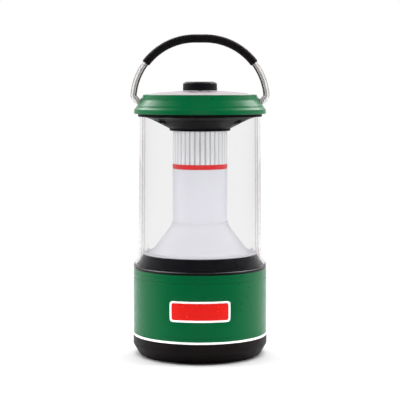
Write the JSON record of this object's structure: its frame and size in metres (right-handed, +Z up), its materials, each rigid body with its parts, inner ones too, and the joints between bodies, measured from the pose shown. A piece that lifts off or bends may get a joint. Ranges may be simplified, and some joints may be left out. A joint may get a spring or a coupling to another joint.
{
  "type": "camping lantern",
  "caption": "Battery camping lantern: clear cylindrical globe round a white diffuser column, green base and lid, black foot, turning knob and folding steel bail with a soft grip.",
  "frame": {"origin": "centre of the foot's standing face, on the lantern's vertical axis", "axes": "+Z up along the lantern's axis, the badge faces -Y, the bail turns about X"},
  "size_m": [0.137, 0.133, 0.316],
  "materials": {
    "black_foot": "satin",
    "white_trim": "gloss",
    "green_shell": "satin",
    "badge_white": "gloss",
    "badge_red": "gloss",
    "carrier_grey": "matte",
    "cell_jacket": "satin",
    "contact_steel": "satin",
    "terminal_brass": "satin",
    "screw_steel": "satin",
    "seal_rubber": "matte",
    "collar_black": "gloss",
    "clear_globe": "gloss",
    "reflector_white": "gloss",
    "diffuser_white": "satin",
    "ring_red": "satin",
    "sink_aluminium": "bright",
    "board_white": "matte",
    "led_phosphor": "matte",
    "board_green": "matte",
    "wire_sleeve": "matte",
    "head_black": "satin",
    "dial_grey": "satin",
    "switch_grey": "matte",
    "bush_black": "satin",
    "knob_black": "soft",
    "bail_chrome": "polished",
    "grip_foam": "soft"
  },
  "bodies": {
    "lantern": {"foot_bumper": "black_foot", "trim_ring": "white_trim", "base_housing": "green_shell", "upper_ring": "green_shell", "badge_plate": "badge_white", "badge_inlay": "badge_red", "battery_carrier": "carrier_grey", "battery_cells": "cell_jacket", "contact_springs": "contact_steel", "lower_contacts": "contact_steel", "upper_contacts": "contact_steel", "carrier_terminals": "terminal_brass", "deck_terminals": "terminal_brass", "foot_screws": "screw_steel", "deck_screws": "screw_steel", "globe_collar": "collar_black", "collar_screws": "screw_steel", "globe_gasket": "seal_rubber", "globe": "clear_globe", "globe_cushion": "seal_rubber", "flared_reflector": "reflector_white", "diffuser_tube": "diffuser_white", "red_ring": "ring_red", "led_board": "board_white", "led_chips": "led_phosphor", "heat_sink": "sink_aluminium", "centre_tube": "sink_aluminium", "lead_wires": "wire_sleeve", "shroud": "head_black", "shroud_screws": "screw_steel", "head_plate": "head_black", "lid": "green_shell", "lid_screws": "screw_steel", "dial_plate": "dial_grey", "control_board": "board_green", "rotary_switch": "switch_grey", "switch_washer": "screw_steel", "switch_nut": "screw_steel", "pivot_bushes": "bush_black"},
    "bail": {"bail_rod": "bail_chrome", "bail_grip": "grip_foam"},
    "knob": {"knob": "knob_black", "switch_shaft": "screw_steel"},
    "battery_door": {"battery_door": "black_foot", "door_seal": "seal_rubber"}
  },
  "joints": [
    {"name": "bail_swing", "type": "hinge", "parent": "lantern", "child": "bail", "pos_m": [0, 0, 0.2502], "axis": [1, 0, 0], "range_deg": [-85, 85]},
    {"name": "knob_turn", "type": "hinge", "parent": "lantern", "child": "knob", "pos_m": [0, 0, 0.261], "axis": [0, 0, -1], "range_deg": [0, 270]},
    {"name": "door_twist", "type": "hinge", "parent": "lantern", "child": "battery_door", "pos_m": [0, 0, 0.0015], "axis": [0, 0, -1], "range_deg": [0, 45]}
  ]
}
